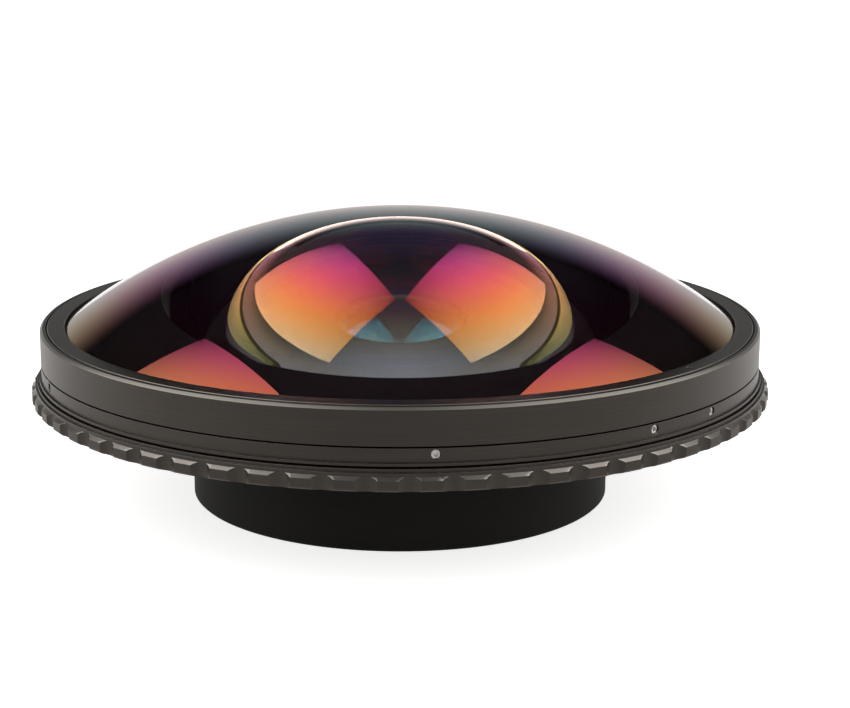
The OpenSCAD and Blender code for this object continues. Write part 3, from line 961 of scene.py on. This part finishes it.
# Two large soft boxes, one over each shoulder of the lens, brighter towards their low edge
def soft_box(name, side):
    along = Vector((side * 0.32, 0.711, -0.03))
    across = Vector((side * 0.316, -0.147, -0.455))
    middle = Vector((side * 0.69, -0.101, 0.714))
    clear_selection()
    bpy.ops.mesh.primitive_plane_add(size=2)
    panel = named(name)
    x_axis = along * -side
    face = x_axis.cross(across).normalized()
    turn = Matrix((x_axis, across, face)).transposed().to_4x4()
    panel.data.transform(Matrix.Translation(middle) @ turn)
    panel.data.flip_normals()
    finish, tree, glow = new_glow(name)
    back = tree.nodes.new("ShaderNodeNewGeometry")
    where = tree.nodes.new("ShaderNodeTexCoord")

    # Place on the panel along one of its half sides, from -1 to 1
    def along_side(half):
        away = tree.nodes.new("ShaderNodeVectorMath")
        away.operation = "SUBTRACT"
        tree.links.new(where.outputs["Object"], away.inputs[0])
        away.inputs[1].default_value = middle
        dot = tree.nodes.new("ShaderNodeVectorMath")
        dot.operation = "DOT_PRODUCT"
        tree.links.new(away.outputs[0], dot.inputs[0])
        dot.inputs[1].default_value = half / half.length_squared
        return dot.outputs["Value"]

    end = along_side(along)
    low = along_side(across)
    level = maths(tree, "ADD", maths(tree, "MULTIPLY", low, 0.5), 1.0)
    level = maths(tree, "SUBTRACT", level, maths(tree, "MULTIPLY", maths(tree, "MULTIPLY", end, end), 0.32))
    far_end = maths(tree, "MAXIMUM", end, 0.0)
    level = maths(tree, "SUBTRACT", level, maths(tree, "MULTIPLY", far_end, 0.1))
    level = maths(tree, "MULTIPLY", maths(tree, "MAXIMUM", level, 0.08), box_level)
    front = maths(tree, "SUBTRACT", 1.0, back.outputs["Backfacing"])
    seen = tree.nodes.new("ShaderNodeLightPath").outputs["Is Camera Ray"]
    strength = maths(tree, "MAXIMUM", maths(tree, "MULTIPLY", level, front), seen)
    tree.links.new(strength, glow.inputs["Strength"])
    glow.inputs["Color"].default_value = (1.0, 0.985, 0.965, 1)
    dress(panel, finish)


for name, side in (("soft_box_left", -1), ("soft_box_right", 1)):
    soft_box(name, side)


# Dim room with a cool window side in front, white to the camera and, low down, to what metal mirrors
def light_room():
    world = bpy.data.worlds.new("studio")
    bpy.context.scene.world = world
    world.use_nodes = True
    tree = world.node_tree
    sky = tree.nodes["Background"]
    path = tree.nodes.new("ShaderNodeLightPath")
    where = tree.nodes.new("ShaderNodeTexCoord")
    split = tree.nodes.new("ShaderNodeSeparateXYZ")
    tree.links.new(where.outputs["Generated"], split.inputs[0])
    front = maths(tree, "MAXIMUM", maths(tree, "MULTIPLY", split.outputs["Y"], -1.0), 0.0)
    once = front_glass_only(tree, path)
    level = maths(tree, "MULTIPLY", maths(tree, "POWER", front, 3.0), once)
    height = in_range(tree, split.outputs["Z"], 0.0, 1.0, start=0.1, stop=0.6)
    window = mix_colour(tree, height, (1.2, 1.5, 1.9), (0.5, 1.1, 3.8))
    room = mix_colour(tree, split.outputs["Z"], (0.08, 0.17, 0.3), (0.025, 0.22, 0.07))
    behind = maths(tree, "MAXIMUM", split.outputs["Y"], 0.0)
    room = mix_colour(tree, behind, room, (0.16, 0.3, 0.18))
    dim = mix_colour(tree, once, (0.008, 0.008, 0.0085), room)
    lit = mix_colour(tree, level, dim, window)
    skyline = in_range(tree, split.outputs["Z"], 1.0, 0.0, stop=0.3, kind="SMOOTHSTEP")
    backdrop = maths(tree, "MULTIPLY", path.outputs["Is Glossy Ray"], skyline)
    backdrop = maths(tree, "MAXIMUM", backdrop, path.outputs["Is Camera Ray"])
    tree.links.new(mix_colour(tree, backdrop, lit, (1.0, 1.0, 1.0)), sky.inputs["Color"])


light_room()

# Camera at the photographed height and distance
camera_tilt = 13.593
picture_w = 850
off_middle = 25
camera = bpy.data.cameras.new("camera")
camera.sensor_width = 36
camera.lens = 83.27
camera.shift_x = off_middle / picture_w
camera.clip_start = 0.01
eye = bpy.data.objects.new("camera", camera)
bpy.context.scene.collection.objects.link(eye)
eye.location = (0, -0.36837, 0.11536)
eye.rotation_euler = (math.radians(90 - camera_tilt), 0, 0)
bpy.context.scene.camera = eye

bpy.context.scene.view_settings.view_transform = "Standard"
bpy.context.scene.cycles.max_bounces = 24
bpy.context.scene.cycles.glossy_bounces = 10
bpy.context.scene.cycles.transmission_bounces = 20

clear_selection()
